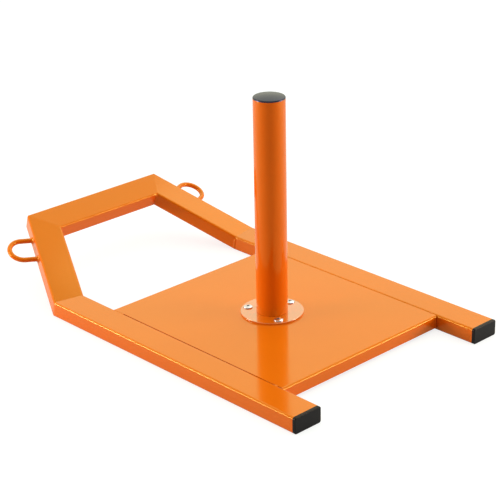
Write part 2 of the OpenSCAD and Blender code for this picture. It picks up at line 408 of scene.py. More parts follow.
@dataclass
class Studio:
    """The light round the sled, and the camera where the photograph was taken from.

    A pale sweep hangs above and behind the sled, two low softboxes stand at its sides, and a
    weak one hangs high behind it. The camera sees white paper round the sled. What mirrors the
    room sees the sweep in the colour sweep_shown, the rest of the room at room_shown, and a
    share of the floor's white. The light that the floor throws back on the sled is warm, as
    from a wooden one.
    """

    camera_place: tuple[float, float, float] = (-1.67701, 1.53697, 1.07005)
    heading: float = math.radians(-43.229)
    pitch: float = math.radians(-23.112)
    roll: float = math.radians(-1.171)
    lens: float = 115.96
    sensor: float = 36.0
    view_reach: float = 200.0
    floor_size: float = 60.0
    sweep_tilt: float = math.radians(60)
    sweep_edge: float = 0.75
    sweep_colour: str = "#f2fff0"
    sweep_shown: str = "#f0eed0"
    sweep_light: float = 1.27
    room_light: float = 0.0
    room_shown: float = 0.1
    floor_seen: str = "#c8c8c8"
    floor_bounce: str = "#d48a5c"
    floor_glow: float = 0.8
    floor_share: float = 0.5
    floor_mirrored: float = 0.4
    lamps: Sequence[Softbox] = (
        Softbox("softbox_left", azimuth=51, elevation=11, watts=23.5),
        Softbox("softbox_right", azimuth=222, elevation=11, watts=19.5),
        Softbox("softbox_back", azimuth=-76, elevation=50, distance=2.4, width=1.0, height=1.4,
                watts=3.0, warmth="#ffffff"),
    )
    target: Vector = field(default_factory=lambda: Vector((0.0, 0.0, 0.08)))

    def build(self) -> None:
        """Sets up the camera, the lamps, the room and the floor."""
        self.set_camera()
        for lamp in self.lamps:
            lamp.hang(self.target)
        self.light_room()
        self.lay_floor()
        bpy.context.scene.view_settings.view_transform = "Standard"

    def set_camera(self) -> None:
        """Puts the camera at the photograph's place, heading, pitch and roll."""
        ahead = Vector((
            math.cos(self.pitch) * math.cos(self.heading),
            math.cos(self.pitch) * math.sin(self.heading),
            math.sin(self.pitch),
        ))
        level = ahead.cross(UP).normalized()
        upright = level.cross(ahead)
        right = level * math.cos(self.roll) + upright * math.sin(self.roll)
        top = upright * math.cos(self.roll) - level * math.sin(self.roll)
        data = bpy.data.cameras.new("photo_camera")
        data.lens = self.lens
        data.sensor_width = self.sensor
        data.clip_end = self.view_reach
        camera = bpy.data.objects.new("photo_camera", data)
        bpy.context.scene.collection.objects.link(camera)
        turn = Matrix((right, top, -ahead)).transposed().to_4x4()
        camera.matrix_world = Matrix.Translation(self.camera_place) @ turn
        bpy.context.scene.camera = camera

    def light_room(self) -> None:
        """Lights the sled from the sweep, whose light fades out towards its edge."""
        world = bpy.data.worlds.new("white_sweep")
        world.use_nodes = True
        bpy.context.scene.world = world
        tree = world.node_tree
        tree.nodes.clear()
        level = math.cos(self.sweep_tilt)
        middle = Vector((level * math.cos(self.heading), level * math.sin(self.heading),
                         math.sin(self.sweep_tilt)))
        way = add_node(tree, "ShaderNodeTexCoord").outputs["Generated"]
        towards = add_node(
            tree, "ShaderNodeVectorMath", {"operation": "DOT_PRODUCT"}, {0: way, 1: middle}
        )
        lit = add_node(
            tree, "ShaderNodeMapRange", {"interpolation_type": "SMOOTHSTEP"},
            {"Value": towards, "From Max": self.sweep_edge},
        )
        seen = self.seen_rays(tree)
        dim = add_node(
            tree, "ShaderNodeMix", {"data_type": "FLOAT"},
            {"Factor": seen, "A": self.room_light, "B": self.room_shown},
        )
        strength = add_node(
            tree, "ShaderNodeMix", {"data_type": "FLOAT"},
            {"Factor": lit, "A": dim, "B": self.sweep_light},
        )
        colour = add_node(
            tree, "ShaderNodeMix", {"data_type": "RGBA"},
            {"Factor": seen, "A": self.sweep_colour, "B": self.sweep_shown},
        )
        light = add_node(
            tree, "ShaderNodeBackground", inputs={"Color": colour, "Strength": strength}
        )
        backdrop = add_node(tree, "ShaderNodeBackground", inputs={"Color": WHITE})
        direct = add_node(tree, "ShaderNodeLightPath").outputs["Is Camera Ray"]
        mix = add_node(tree, "ShaderNodeMixShader", inputs={0: direct, 1: light, 2: backdrop})
        add_node(tree, "ShaderNodeOutputWorld", inputs={"Surface": mix})

    def seen_rays(self, tree: bpy.types.NodeTree, mirrored_share: float = 1.0) -> bpy.types.Node:
        """Tells apart the rays that carry a picture from those that only carry light.

        Args:
            tree: The node tree that needs the answer.
            mirrored_share: The answer for glossy and transmission rays.

        Returns:
            A node that gives 1 for camera rays, that share for mirrored ones and 0 for others.
        """
        path = add_node(tree, "ShaderNodeLightPath")
        mirrored = add_node(
            tree, "ShaderNodeMath", {"operation": "MAXIMUM"},
            {0: path.outputs["Is Glossy Ray"], 1: path.outputs["Is Transmission Ray"]},
        )
        share = add_node(
            tree, "ShaderNodeMath", {"operation": "MULTIPLY"}, {0: mirrored, 1: mirrored_share}
        )
        return add_node(
            tree, "ShaderNodeMath", {"operation": "MAXIMUM"},
            {0: path.outputs["Is Camera Ray"], 1: share},
        )

    def lay_floor(self) -> None:
        """Lays a matt floor that reads as white paper and keeps the sled's shadow."""
        bpy.ops.mesh.primitive_plane_add(size=self.floor_size, location=ORIGIN)
        floor = bpy.context.active_object
        floor.name = "studio_floor"
        material = new_material("matt_white_paper")
        tree = material.node_tree
        colour = add_node(
            tree, "ShaderNodeMix", {"data_type": "RGBA"},
            {"Factor": self.seen_rays(tree), "A": self.floor_bounce, "B": self.floor_seen},
        )
        paper = add_node(tree, "ShaderNodeBsdfDiffuse", inputs={"Color": colour})
        glow = add_node(
            tree, "ShaderNodeEmission",
            inputs={"Color": WHITE, "Strength": self.floor_glow / self.floor_share},
        )
        share = add_node(
            tree, "ShaderNodeMath", {"operation": "MULTIPLY"},
            {0: self.seen_rays(tree, self.floor_mirrored), 1: self.floor_share},
        )
        mix = add_node(tree, "ShaderNodeMixShader", inputs={0: share, 1: paper, 2: glow})
        add_node(tree, "ShaderNodeOutputMaterial", inputs={"Surface": mix})
        floor.data.materials.append(material)


class Workpiece:
    """One mesh on the bench, shaped with Blender's own operators as by hand."""

    def __init__(self, name: str) -> None:
        """Takes over the object that was added last.

        Args:
            name: The piece's name.
        """
        self.obj: bpy.types.Object = bpy.context.active_object
        self.obj.name = name
        self.obj.data.name = name
        self.settle()

    @classmethod
    def block(cls, name: str, size: Vector, centre: Vector = ORIGIN) -> "Workpiece":
        """Starts from a cuboid.

        Args:
            name: The piece's name.
            size: Its three sizes.
            centre: Its middle.

        Returns:
            The new piece.
        """
        bpy.ops.mesh.primitive_cube_add(size=1.0, location=centre, scale=size)
        return cls(name)

    @classmethod
    def bar(cls, name: str, radius: float, length: float, foot: Vector = ORIGIN,
            sides: int = 32) -> "Workpiece":
        """Starts from an upright round bar.

        Args:
            name: The piece's name.
            radius: The bar's radius.
            length: Its length, upwards from the foot.
            foot: The middle of its lower end.
            sides: The number of flats that stand for the round.

        Returns:
            The new piece.
        """
        bpy.ops.mesh.primitive_cylinder_add(
            vertices=sides, radius=radius, depth=length, location=foot + UP * (length / 2)
        )
        return cls(name)

    @classmethod
    def sheet(cls, name: str, x_size: float, y_size: float, centre: Vector) -> "Workpiece":
        """Starts from a level sheet without thickness.

        Args:
            name: The piece's name.
            x_size: Its length along X.
            y_size: Its width along Y.
            centre: Its middle.

        Returns:
            The new piece.
        """
        bpy.ops.mesh.primitive_plane_add(size=1.0, location=centre)
        bpy.context.active_object.scale = (x_size, y_size, 1.0)
        return cls(name)

    @classmethod
    def turned(cls, name: str, profile: Sequence[Vector], closed: bool = False,
               steps: int = 96) -> "Workpiece":
        """Spins a half section round the upright axis, as on a lathe.

        Args:
            name: The piece's name.
            profile: Points of the half section, in the XZ plane.
            closed: True for a ring, whose section ends where it starts.
            steps: The number of steps in the full turn.

        Returns:
            The new piece.
        """
        bpy.ops.mesh.primitive_plane_add(size=MM)
        piece = cls(name)
        route = [*profile, profile[0]] if closed else list(profile)
        with piece.edit():
            bpy.ops.mesh.select_mode(type=Pick.VERTS.value)
            bpy.ops.mesh.select_all(action="SELECT")
            bpy.ops.mesh.merge(type="CENTER")
            bpy.ops.transform.translate(value=route[0])
            for start, end in zip(route, route[1:]):
                piece.draw_out(end - start)
            bpy.ops.mesh.select_all(action="SELECT")
            bpy.ops.mesh.spin(steps=steps, angle=math.tau, center=ORIGIN, axis=UP)
        piece.face_outwards()
        return piece

    def take_up(self) -> None:
        """Makes the piece the active one, and the only one that is selected."""
        bpy.ops.object.select_all(action="DESELECT")
        self.obj.select_set(True)
        bpy.context.view_layer.objects.active = self.obj

    def settle(self) -> None:
        """Puts the object's own place, turn and scale into its mesh."""
        self.take_up()
        bpy.ops.object.transform_apply(location=True, rotation=True, scale=True)

    def place(self, seat: Matrix) -> "Workpiece":
        """Moves the piece to its seat.

        Args:
            seat: Where the piece's own frame goes.

        Returns:
            The piece itself.
        """
        self.obj.matrix_world = seat
        self.settle()
        if seat.determinant() < 0:
            self.face_outwards()
        return self

    def twin(self, name: str, seat: Matrix) -> "Workpiece":
        """Copies the piece, with a mesh of its own.

        Args:
            name: The copy's name.
            seat: Where the copy goes.

        Returns:
            The copy.
        """
        self.take_up()
        bpy.ops.object.duplicate(linked=False)
        return Workpiece(name).place(seat)

    @contextmanager
    def edit(self) -> Iterator[None]:
        """Opens the piece in edit mode, and closes it again."""
        self.take_up()
        bpy.ops.object.mode_set(mode="EDIT")
        try:
            yield
        finally:
            bpy.ops.object.mode_set(mode="OBJECT")

    def choose(self, pick: Pick, wanted: Callable[[Any], bool]) -> None:
        """Selects parts of the mesh by a test, in edit mode.

        Args:
            pick: What is selected.
            wanted: Says of each vertex, edge or face whether it is selected.
        """
        bpy.ops.mesh.select_mode(type=pick.value)
        bpy.ops.mesh.select_all(action="DESELECT")
        mesh = bmesh.from_edit_mesh(self.obj.data)
        parts = {Pick.VERTS: mesh.verts, Pick.EDGES: mesh.edges, Pick.FACES: mesh.faces}[pick]
        for part in [part for part in parts if wanted(part)]:
            part.select_set(True)
        mesh.select_flush_mode()
        bmesh.update_edit_mesh(self.obj.data)

    def draw_out(self, way: Vector) -> None:
        """Draws the chosen parts out of the mesh, in edit mode."""
        bpy.ops.mesh.extrude_region_move(TRANSFORM_OT_translate={"value": way})

    def round_off(self, radius: float, steps: int, wanted: Callable[[Any], bool]) -> None:
        """Rounds some of the piece's edges.

        Args:
            radius: The round's radius.
            steps: The number of flats in each round.
            wanted: Says of each edge whether it is rounded.
        """
        with self.edit():
            self.choose(Pick.EDGES, wanted)
            bpy.ops.mesh.bevel(offset=radius, segments=steps, profile=0.5, affect="EDGES")

    def saw(self, point: Vector, normal: Vector, hollow: bool = False) -> None:
        """Saws the piece through, drops what the normal points to and closes the cut.

        Args:
            point: A point of the cut.
            normal: The direction of the part that falls off.
            hollow: True where the cut is a ring of wall.
        """
        with self.edit():
            bpy.ops.mesh.select_all(action="SELECT")
            bpy.ops.mesh.bisect(
                plane_co=point, plane_no=normal.normalized(), clear_outer=True,
                use_fill=not hollow,
            )
            if hollow:
                self.choose(Pick.EDGES, lambda edge: edge.is_boundary)
                bpy.ops.mesh.bridge_edge_loops()

    def face_outwards(self) -> None:
        """Merges doubled points and turns all faces outwards."""
        with self.edit():
            bpy.ops.mesh.select_all(action="SELECT")
            bpy.ops.mesh.remove_doubles(threshold=MICRON)
            bpy.ops.mesh.normals_make_consistent(inside=False)

    def modify(self, kind: str, **settings: Any) -> None:
        """Adds a modifier and applies it.

        Args:
            kind: Blender's name for the modifier's type.
            settings: The modifier's own settings.
        """
        self.take_up()
        modifier = self.obj.modifiers.new(kind.lower(), kind)
        for key, value in settings.items():
            setattr(modifier, key, value)
        bpy.ops.object.modifier_apply(modifier=modifier.name)

    def carve(self, cutter: "Workpiece") -> None:
        """Cuts another piece's shape out of this one, and puts the cutter away.

        Args:
            cutter: The piece that is cut out.
        """
        self.modify("BOOLEAN", operation="DIFFERENCE", solver="EXACT", object=cutter.obj)
        bpy.data.objects.remove(cutter.obj)

    def drill(self, radius: float, wall: float, seats: Sequence[Matrix]) -> None:
        """Drills a hole right through a wall at each seat.

        Args:
            radius: The drill's radius.
            wall: The wall's thickness.
            seats: The seats, in or on the wall, with their Z along the drill.
        """
        depth = 4 * wall
        for seat in seats:
            tool = Workpiece.bar("drill", radius, depth, UP * (-depth / 2), sides=48)
            self.carve(tool.place(seat))

    def polish(self, angle: float) -> None:
        """Shades the rounds smooth and keeps the flats flat.

        Args:
            angle: The largest angle between faces that still counts as a round.
        """
        self.take_up()
        bpy.ops.object.shade_smooth_by_angle(angle=angle)
        self.modify("WEIGHTED_NORMAL", keep_sharp=True)


def arc(centre: Vector, radius: float, start: float, end: float, steps: int) -> list[Vector]:
    """Lists the points of an arc in the XZ plane.

    Args:
        centre: The arc's centre.
        radius: Its radius.
        start: The angle of its first point, in degrees from +X towards +Z.
        end: The angle of its last point.
        steps: The number of chords.

    Returns:
        The points, both ends included.
    """
    angles = [math.radians(start + (end - start) * k / steps) for k in range(steps + 1)]
    return [centre + Vector((math.cos(a), 0.0, math.sin(a))) * radius for a in angles]


def half_section(*corners: tuple[float, float]) -> list[Vector]:
    """Turns radius and height pairs into points of a half section."""
    return [Vector((radius, 0.0, height)) for radius, height in corners]


def seat_at(origin: Vector, x_axis: Vector, y_axis: Vector, z_axis: Vector) -> Matrix:
    """Lays a piece's own X, Y and Z along three directions from a point.

    Args:
        origin: Where the piece's own origin goes.
        x_axis: The direction of its X.
        y_axis: The direction of its Y.
        z_axis: The direction of its Z.

    Returns:
        The matrix that moves the piece there.
    """
    turn = Matrix((x_axis, y_axis, z_axis)).transposed().to_4x4()
    return Matrix.Translation(origin) @ turn


@dataclass
class SubAssembly:
    """Pieces of the sled that are built, seated and dressed together."""

    SLOT: ClassVar[str] = "powder_coat"
    smooth_angle: float = math.radians(35)
    pieces: list[bpy.types.Object] = field(default_factory=list, init=False)

    def seat(self, piece: Workpiece, node: str) -> None:
        """Finishes a piece, and lets it stand for its node on the frame.

        Args:
            piece: The finished workpiece.
            node: The node that it stands for.
        """
        piece.polish(self.smooth_angle)
        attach(piece.obj, "root")
        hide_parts(node)
        self.pieces.append(piece.obj)
        LOG.info("%s: %d faces, for %s", piece.obj.name, len(piece.obj.data.polygons), node)

    def seat_pair(self, piece: Workpiece, node: str) -> None:
        """Seats a piece of the left side, and its mirror image on the right.

        Args:
            piece: The finished workpiece.
            node: The node that it stands for.
        """
        left, right = Side.LEFT.word, Side.RIGHT.word
        twin = piece.twin(piece.obj.name.replace(left, right), MIRROR_Y)
        self.seat(piece, node)
        self.seat(twin, node.replace(left, right))

    def dress(self, finish: Finish) -> None:
        """Gives all the pieces one finish.

        Args:
            finish: The finish, which makes its own material.
        """
        for piece in self.pieces:
            piece.data.materials.clear()
            piece.data.materials.append(finish.material())


@dataclass(frozen=True)
class Ripples:
    """The ripples that a weld's pool leaves on it as it freezes.

    The points of fillet_face are in shares of a fillet's leg, inwards from its toe and upwards.
    """

    pitch: float
    height: float
    end_share: float = 0.8
    fillet_face: tuple[tuple[float, float], ...] = ((0.24, 0.16), (0.52, 0.39), (0.77, 0.68))

    def bar(self, name: str, radius: float, length: float) -> Workpiece:
        """Makes an upright bead, a little thinner at its two ends.

        Args:
            name: The piece's name.
            radius: The bead's radius on its ripples.
            length: Its length.

        Returns:
            The bead, with its foot at the origin.
        """
        count = max(2, round(length / self.pitch) - 1)
        end, groove = self.end_share * radius, radius - self.height
        radii = [end, *[groove, radius] * count, groove, end]
        step = length / (len(radii) - 1)
        piece = Workpiece.bar(name, end, step, sides=28)
        with piece.edit():
            piece.choose(Pick.FACES, lambda face: face.normal.z > FACING)
            for index, (before, after) in enumerate(zip(radii, radii[1:])):
                if index:
                    piece.draw_out(UP * step)
                swell = after / before
                bpy.ops.transform.resize(value=(swell, swell, 1.0), center_override=ORIGIN)
        return piece

    def ring(self, name: str, radius: float, leg: float) -> Workpiece:
        """Makes a fillet round an upright bar, with its foot at the origin.

        Args:
            name: The piece's name.
            radius: The bar's radius.
            leg: The fillet's width and height.

        Returns:
            The fillet.
        """
        toe = radius + leg
        face = [(toe - inwards * leg, rise * leg) for inwards, rise in self.fillet_face]
        section = half_section((radius, 0.0), (toe, 0.0), *face, (radius, leg))
        count = round(math.tau * toe / self.pitch)
        piece = Workpiece.turned(name, section, closed=True, steps=2 * count)
        turn = math.tau / (2 * count)
        groove = (toe - self.height) / toe

        def sunk(vert: Any) -> bool:
            """Says whether a point of the fillet's face lies in a groove."""
            station = round(math.atan2(vert.co.y, vert.co.x) / turn)
            return station % 2 == 1 and vert.co.to_2d().length > radius + SLACK

        with piece.edit():
            piece.choose(Pick.VERTS, sunk)
            bpy.ops.transform.resize(value=(groove, groove, 1.0), center_override=ORIGIN)
        return piece


@dataclass(frozen=True)
class TubeAxes:
    """A tube's own directions, from a point on its centreline."""

    origin: Vector
    along: Vector
    across: Vector
    upright: Vector

    def seat(self) -> Matrix:
        """The matrix for a tube that is modelled along Z, with its width along X."""
        return seat_at(self.origin, self.across, self.upright, self.along)

    def onwards(self, origin: Vector, along: Vector) -> "TubeAxes":
        """Gives the next tube's directions after a mitre, in which the two mirror each other.

        Args:
            origin: The mitre's middle.
            along: The next tube's direction.

        Returns:
            The next tube's directions.
        """
        mitre = (self.along + along).normalized()
        return TubeAxes(
            origin, along,
            self.across - mitre * (2 * self.across.dot(mitre)),
            self.upright - mitre * (2 * self.upright.dot(mitre)),
        )


@dataclass
class TubeFrame(SubAssembly):
    """The welded frame of rectangular tube: two runners, two climbing tubes and the crossbar."""

    overall_w: float = 425 * MM
    rear_reach: float = 255 * MM
    bend_reach: float = 262 * MM
    front_reach: float = 148 * MM
    front_rise: float = 70 * MM
    crossbar_span: float = 236 * MM
    width: float = 50 * MM
    height: float = 25 * MM
    wall: float = 2 * MM
    corner: float = 3.5 * MM
    corner_steps: int = 6
    bend_grind: float = 0.9 * MM
    corner_grind: float = 1.7 * MM
    bead_radius: float = 4 * MM
    bead_sink: float = 2.48 * MM
    ripples: Ripples = Ripples(pitch=1.6 * MM, height=0.25 * MM)

    @property
    def post_x(self) -> float:
        """The post's axis, a rear reach ahead of the runners' rear ends."""
        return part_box("left_runner")[0][0] + self.rear_reach

    @property
    def runner(self) -> TubeAxes:
        """The left runner's directions, from the bend."""
        bend = Vector((self.post_x + self.bend_reach, (self.overall_w - self.width) / 2,
                       self.height / 2))
        return TubeAxes(bend, FORWARD, LEFTWARD, UP)

    @property
    def climb(self) -> Vector:
        """The way from the left bend to the left front corner."""
        inwards = (self.crossbar_span - self.overall_w + self.width) / 2
        return Vector((self.front_reach, inwards, self.front_rise))

    @property
    def diagonal(self) -> TubeAxes:
        """The left front tube's directions, from the bend."""
        return self.runner.onwards(self.runner.origin, self.climb.normalized())

    @property
    def crossbar(self) -> TubeAxes:
        """The crossbar's directions, from the left front corner."""
        corner = self.runner.origin + self.climb
        return self.diagonal.onwards(corner, -LEFTWARD)

    def tube(self, name: str, axes: TubeAxes, start: float, end: float) -> Workpiece:
        """Makes a stretch of rectangular tube with square ends.

        Args:
            name: The piece's name.
            axes: The tube's directions.
            start: Where it starts along its centreline.
            end: Where it ends.

        Returns:
            The tube, in its place.
        """
        size = Vector((self.width, self.height, end - start))
        piece = Workpiece.block(name, size, UP * ((start + end) / 2))
        with piece.edit():
            piece.choose(Pick.FACES, lambda face: abs(face.normal.z) > FACING)
            bpy.ops.mesh.delete(type="ONLY_FACE")
        piece.round_off(self.corner, self.corner_steps, lambda edge: not edge.is_boundary)
        piece.modify("SOLIDIFY", thickness=self.wall, offset=-1.0, use_even_offset=True)
        return piece.place(axes.seat())

    def grind(self, piece: Workpiece, before: TubeAxes, after: TubeAxes, depth: float) -> None:
        """Grinds the outer corner of a mitre flat, as after welding.

        Args:
            piece: The tube that is ground.
            before: The tube before the mitre.
            after: The tube after it, from the mitre's middle.
            depth: How far the sharp corner is taken down.
        """
        outwards = (before.across + after.across).normalized()
        reach = self.width / 2 / outwards.dot(before.across)
        piece.saw(after.origin + outwards * (reach - depth), outwards)

    def bead(self, name: str, before: TubeAxes, after: TubeAxes) -> Workpiece:
        """Lays a rippled bead in the inner corner of a mitre.

        Args:
            name: The piece's name.
            before: The tube before the mitre.
            after: The tube after it, from the mitre's middle.

        Returns:
            The bead, in its place.
        """
        outwards = (before.across + after.across).normalized()
        inner = after.origin - outwards * (self.width / 2 / outwards.dot(before.across))
        mitre = (before.along + after.along).normalized()
        rise = mitre.cross(outwards).normalized()
        rise = rise if rise.z > 0 else -rise
        length = self.height - 2 * self.corner
        foot = inner + outwards * self.bead_sink - rise * (length / 2)
        piece = self.ripples.bar(name, self.bead_radius, length)
        piece.place(seat_at(foot, mitre, rise.cross(mitre), rise))
        for tube in (before, after):
            piece.saw(after.origin - tube.across * (self.width / 2), tube.across)
        return piece

    def build(self) -> None:
        """Builds the five tubes and the beads in the frame's inner corners."""
        runner, diagonal, crossbar = self.runner, self.diagonal, self.crossbar
        bend_mitre = runner.along + diagonal.along
        corner_mitre = diagonal.along + crossbar.along
        left_runner = self.tube(
            "runner_tube_left", runner, -self.bend_reach - self.rear_reach, self.width
        )
        left_runner.saw(runner.origin, bend_mitre, hollow=True)
        self.grind(left_runner, runner, diagonal, self.bend_grind)
        left_front = self.tube(
            "front_tube_left", diagonal, -self.width, self.climb.length + self.width
        )
        left_front.saw(runner.origin, -bend_mitre, hollow=True)
        left_front.saw(crossbar.origin, corner_mitre, hollow=True)
        self.grind(left_front, runner, diagonal, self.bend_grind)
        self.grind(left_front, diagonal, crossbar, self.corner_grind)
        cross = self.tube(
            "crossbar_tube", crossbar, -self.width, self.crossbar_span + self.width
        )
        # The bar is mirrored after each round, so the two rounds finish its two ends
        for _ in Side:
            cross.saw(crossbar.origin, -corner_mitre, hollow=True)
            self.grind(cross, diagonal, crossbar, self.corner_grind)
            cross.place(MIRROR_Y)
        bend_bead = self.bead("bend_weld_left", runner, diagonal)
        corner_bead = self.bead("corner_weld_left", diagonal, crossbar)
        for piece, node in (
            (left_runner, "left_runner"),
            (left_front, "left_front_tube"),
            (bend_bead, "frame_welds"),
            (corner_bead, "frame_welds"),
        ):
            self.seat_pair(piece, node)
        self.seat(cross, "front_crossbar")


@dataclass(frozen=True)
class ScrewRing:
    """The circle of screws that holds the post's flange down on the deck."""

    post_x: float
    diameter: float = 76 * MM
    hole: float = 6.6 * MM
    count: int = 3
    first_angle: float = math.radians(-90)

    def axis(self, height: float) -> Matrix:
        """Gives a seat on the post's axis, at that height."""
        return Matrix.Translation((self.post_x, 0.0, height))

    def seats(self, height: float) -> list[Matrix]:
        """Gives a seat at each screw, with its own X pointing away from the post.

        Args:
            height: The seats' height.

        Returns:
            The seats, from the first angle on.
        """
        reach = Matrix.Translation(FORWARD * (self.diameter / 2))
        angles = [self.first_angle + k * math.tau / self.count for k in range(self.count)]
        return [self.axis(height) @ Matrix.Rotation(angle, 4, "Z") @ reach for angle in angles]


@dataclass
class Deck(SubAssembly):
    """The deck: one sheet folded down at front and rear, welded between the runners."""

    ring: ScrewRing = field(kw_only=True)
    front: float = 181 * MM
    rear: float = 188 * MM
    half_width: float = 162.5 * MM
    top: float = 24.5 * MM
    thickness: float = 2.5 * MM
    fold: float = 4 * MM
    fold_steps: int = 8
    lip: float = 20 * MM
    relief: float = 1.5 * MM
    sheared_edge: float = 0.25 * MM
    seam_radius: float = 2.2 * MM
    seam_in: float = 0.9 * MM
    seam_down: float = 1.5 * MM
    seam_bead: float = 22 * MM
    seam_tack: float = 5 * MM
    tack_back: float = 11 * MM
    stitch_length: float = 30 * MM
    stitch_leg: float = 4 * MM
    stitch_end: float = 45 * MM
    stitch_count: int = 3
    ripples: Ripples = Ripples(pitch=1.3 * MM, height=0.15 * MM)

    @property
    def front_x(self) -> float:
        """The front face of the front lip."""
        return self.ring.post_x + self.front

    @property
    def rear_x(self) -> float:
        """The rear face of the rear lip."""
        return self.ring.post_x - self.rear

    def fold_sheet(self) -> Workpiece:
        """Folds the sheet's two lips down, on its outer surface, and gives it its thickness.

        Returns:
            The sheet, without holes.
        """
        middle = Vector(((self.front_x + self.rear_x) / 2, 0.0, self.top))
        piece = Workpiece.sheet(
            "deck_sheet", self.front_x - self.rear_x, 2 * self.half_width, middle
        )
        with piece.edit():
            piece.choose(Pick.EDGES, lambda edge: edge.verts[0].co.x == edge.verts[1].co.x)
            piece.draw_out(UP * -self.lip)
        piece.round_off(
            self.fold, self.fold_steps,
            lambda edge: not edge.is_boundary and abs(edge.verts[0].co.z - self.top) < MICRON,
        )
        self.relieve_lips(piece)
        piece.face_outwards()
        piece.modify("SOLIDIFY", thickness=self.thickness, offset=-1.0, use_even_offset=True)
        return piece

    def relieve_lips(self, piece: Workpiece) -> None:
        """Cuts the lips' ends back, so that they clear the runners' corners.

        Args:
            piece: The folded sheet, still without thickness.
        """
        end_y = self.half_width - self.relief
        with piece.edit():
            for side in Side:
                piece.choose(Pick.FACES, lambda face: abs(face.normal.x) > SQUARE)
                bpy.ops.mesh.bisect(plane_co=LEFTWARD * side.value * end_y, plane_no=LEFTWARD)
            piece.choose(
                Pick.FACES,
                lambda face: abs(face.normal.x) > SQUARE
                and abs(face.calc_center_median().y) > end_y,
            )
            bpy.ops.mesh.delete(type="FACE")

    def lay_bead(self, name: str, x: float, y: float, z: float, length: float,
                 radius: float) -> Workpiece:
        """Lays a bead along the left side of the deck.

        Args:
            name: The bead's name.
            x: Where it starts.
            y: How far from the middle its axis lies.
            z: How high its axis lies.
            length: The bead's length.
            radius: Its radius.

        Returns:
            The bead, in its place.
        """
        bead = self.ripples.bar(name, radius, length)
        return bead.place(seat_at(Vector((x, y, z)), LEFTWARD, UP, FORWARD))

    def weld(self) -> list[Workpiece]:
        """Lays the welds of the left side.

        Returns:
            The two fillings of the seam, and the stitches under the sheet.
        """
        seam_y = self.half_width + self.seam_in
        seam_z = self.top - self.seam_down
        sheared = LEFTWARD * self.half_width
        beads = [
            self.lay_bead("deck_seam_bead_left", self.front_x - self.fold - self.seam_bead, seam_y,
                          seam_z, self.seam_bead, self.seam_radius),
            self.lay_bead("deck_seam_tack_left", self.rear_x + self.tack_back, seam_y, seam_z,
                          self.seam_tack, self.seam_radius),
        ]
        for bead in beads:
            bead.saw(sheared, -LEFTWARD)
        under = self.top - self.thickness
        first = self.rear_x + self.stitch_end
        span = self.front + self.rear - 2 * self.stitch_end - self.stitch_length
        for index in range(self.stitch_count):
            x = first + span * index / (self.stitch_count - 1)
            stitch = self.lay_bead(f"deck_stitch_{index + 1}_left", x, self.half_width, under,
                                   self.stitch_length, self.stitch_leg)
            stitch.saw(sheared, LEFTWARD)
            stitch.saw(UP * under, UP)
            beads.append(stitch)
        return beads

    def build(self) -> None:
        """Builds the folded sheet with its screw holes, and the welds at its sides."""
        sheet = self.fold_sheet()
        sheet.drill(self.ring.hole / 2, self.thickness, self.ring.seats(self.top))
        sheet.modify("BEVEL", width=self.sheared_edge, segments=2, limit_method="ANGLE",
                     angle_limit=math.radians(60))
        self.seat(sheet, "deck_plate")
        for bead in self.weld():
            self.seat_pair(bead, "deck_welds")

    def dress(self, coat: PowderCoat) -> None:
        """Sprays the deck, with shade painted as a darker coat on the edges beside the runners.

        Args:
            coat: The powder coat.
        """
        super().dress(coat)
        # The sheet's edges in the seam get a darker colour as painted shade
        seam_shaded = replace(coat, name=f"{coat.name}_thin_in_the_seam",
                        seam_shade_beyond=self.half_width - SLACK)
        sheet = self.pieces[0]
        sheet.data.materials[0] = seam_shaded.material()


@dataclass
class TowEyes(SubAssembly):
    """The two tow eyes: bent rod, welded by both ends to the outer faces of the front tubes."""

    tubes: TubeFrame = field(kw_only=True)
    rod: float = 8 * MM
    width: float = 34 * MM
    depth: float = 37 * MM
    middle: float = 127 * MM
    fillet: float = 3 * MM
    bend_steps: int = 40
    ripples: Ripples = Ripples(pitch=1.5 * MM, height=0.2 * MM)

    def build(self) -> None:
        """Bends the left eye and lays its two fillets, then copies them to the right."""
        bend = (self.width + self.rod) / 2
        leg = self.depth - self.width / 2
        tube = self.tubes.diagonal
        foot = tube.origin + tube.along * self.middle + tube.across * (self.tubes.width / 2)
        seat = seat_at(foot, tube.along, -tube.upright, tube.across)
        eye = Workpiece.bar("tow_eye_left", self.rod / 2, leg, FORWARD * bend)
        with eye.edit():
            eye.choose(Pick.FACES, lambda face: face.normal.z > FACING)
            bpy.ops.mesh.spin(
                steps=self.bend_steps, angle=math.pi, center=UP * leg, axis=LEFTWARD
            )
            eye.draw_out(UP * -leg)
        eye.face_outwards()
        eye.place(seat)
        ring = self.ripples.ring("tow_eye_weld_left_1", self.rod / 2, self.fillet)
        rear_ring = ring.twin("tow_eye_weld_left_2", Matrix.Translation(FORWARD * -bend))
        ring.place(Matrix.Translation(FORWARD * bend))
        self.seat_pair(eye, "left_tow_eye")
        for fillet in (ring, rear_ring):
            self.seat_pair(fillet.place(seat), "tow_eye_welds")


@dataclass(frozen=True)
class Sleeve:
    """The hollow ribbed sleeve by which a moulded plug grips the inside of its tube."""

    length: float = 22 * MM
    wall: float = 2 * MM
    rib: float = 1 * MM
    rib_thickness: float = 1.5 * MM
    rib_count: int = 3

    @property
    def pitch(self) -> float:
        """The distance from rib to rib."""
        return self.length / (self.rib_count + 1)


